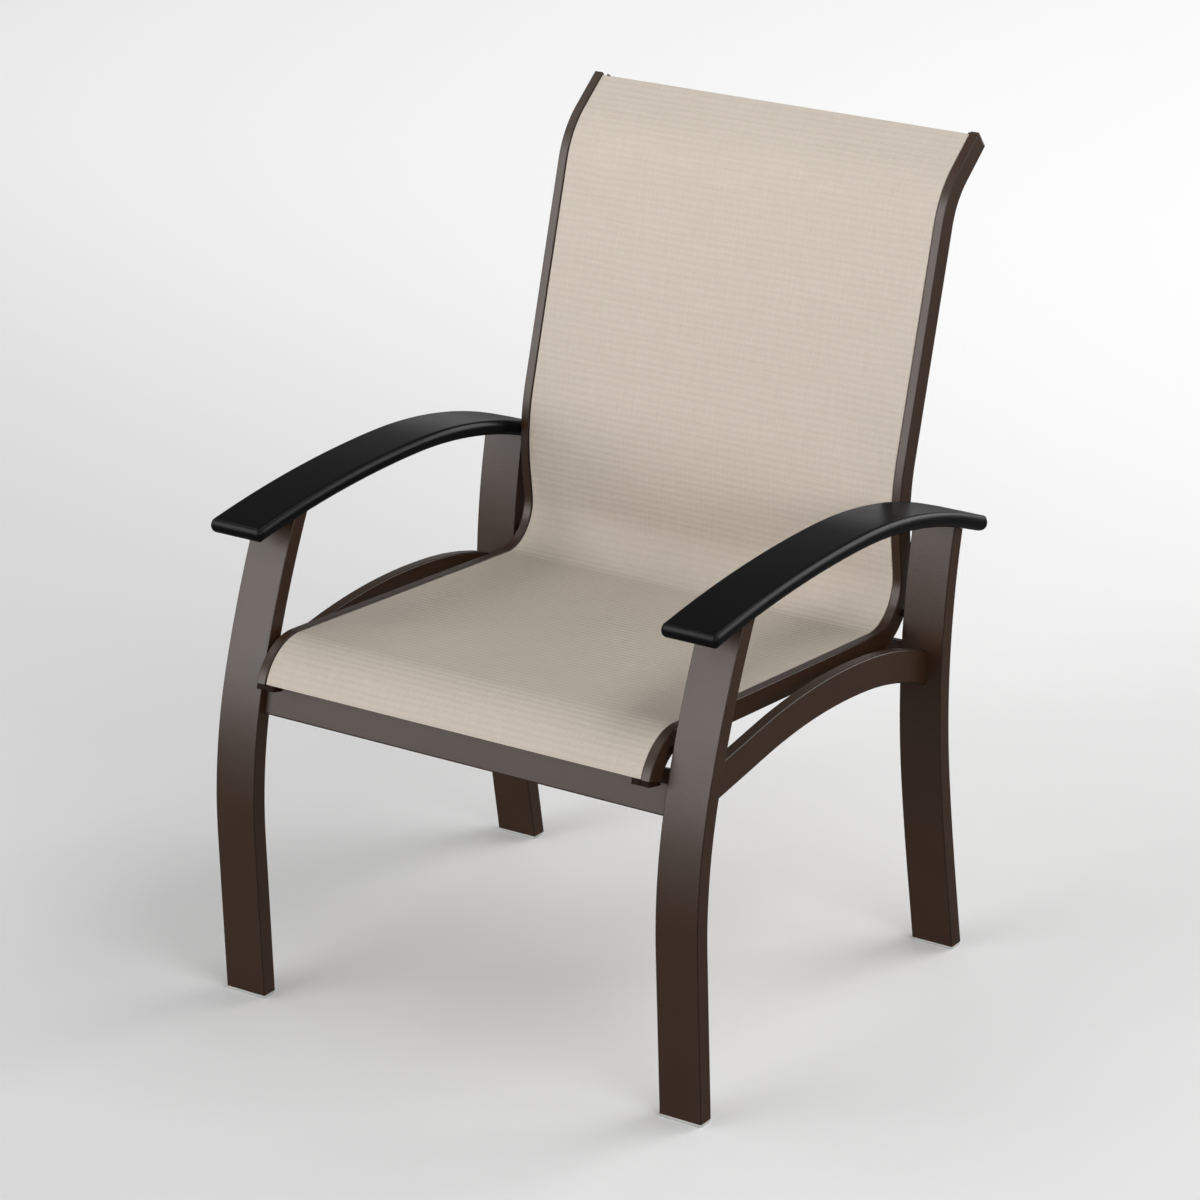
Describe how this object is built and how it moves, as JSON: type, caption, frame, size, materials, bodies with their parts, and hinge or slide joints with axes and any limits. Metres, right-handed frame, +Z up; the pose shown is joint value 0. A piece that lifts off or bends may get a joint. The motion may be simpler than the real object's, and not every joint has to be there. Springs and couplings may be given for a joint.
{
  "type": "sling patio chair",
  "caption": "Fixed-frame sling patio chair: bent flat-tube legs, arched side rails, moulded armrests and one cloth sling stretched between two curved side rails.",
  "frame": {"origin": "on the floor, under the middle of the chair's bounding box", "axes": "+Z up, -Y the way the chair faces (towards its front edge), +X to the sitter's left"},
  "size_m": [0.644, 0.6772, 0.9196],
  "materials": {
    "frame_powder_coat": "textured satin powder coat, dark bronze brown, on aluminium tube",
    "arm_polymer": "black moulded polymer, satin",
    "sling_cloth": "open vinyl-coated polyester mesh, warm beige, fine ribs across the chair",
    "pale_nylon": "pale translucent nylon, satin",
    "dark_nylon": "dark brown nylon, matt",
    "zinc_steel": "bright zinc plating"
  },
  "bodies": {
    "root": {"arm_screw_front_left": "zinc_steel", "arm_screw_front_right": "zinc_steel", "arm_screw_rear_left": "zinc_steel", "arm_screw_rear_right": "zinc_steel", "armrest_left": "arm_polymer", "armrest_right": "arm_polymer", "back_stretcher": "frame_powder_coat", "foot_glide_front_left": "pale_nylon", "foot_glide_front_right": "pale_nylon", "foot_glide_rear_left": "pale_nylon", "foot_glide_rear_right": "pale_nylon", "front_cross_rail": "frame_powder_coat", "front_leg_left": "frame_powder_coat", "front_leg_right": "frame_powder_coat", "rail_bolt_front_left": "zinc_steel", "rail_bolt_front_right": "zinc_steel", "rail_bolt_rear_left": "zinc_steel", "rail_bolt_rear_right": "zinc_steel", "rail_bottom_cap_left": "dark_nylon", "rail_bottom_cap_right": "dark_nylon", "rail_spacer_front_left": "frame_powder_coat", "rail_spacer_front_right": "frame_powder_coat", "rail_spacer_rear_left": "frame_powder_coat", "rail_spacer_rear_right": "frame_powder_coat", "rail_top_cap_left": "frame_powder_coat", "rail_top_cap_right": "frame_powder_coat", "rear_cross_rail": "frame_powder_coat", "rear_leg_left": "frame_powder_coat", "rear_leg_right": "frame_powder_coat", "seat_stretcher": "frame_powder_coat", "side_rail_left": "frame_powder_coat", "side_rail_right": "frame_powder_coat", "sling_fabric": "sling_cloth", "sling_rail_left": "frame_powder_coat", "sling_rail_right": "frame_powder_coat", "sling_spline_left": "dark_nylon", "sling_spline_right": "dark_nylon"}
  },
  "joints": []
}
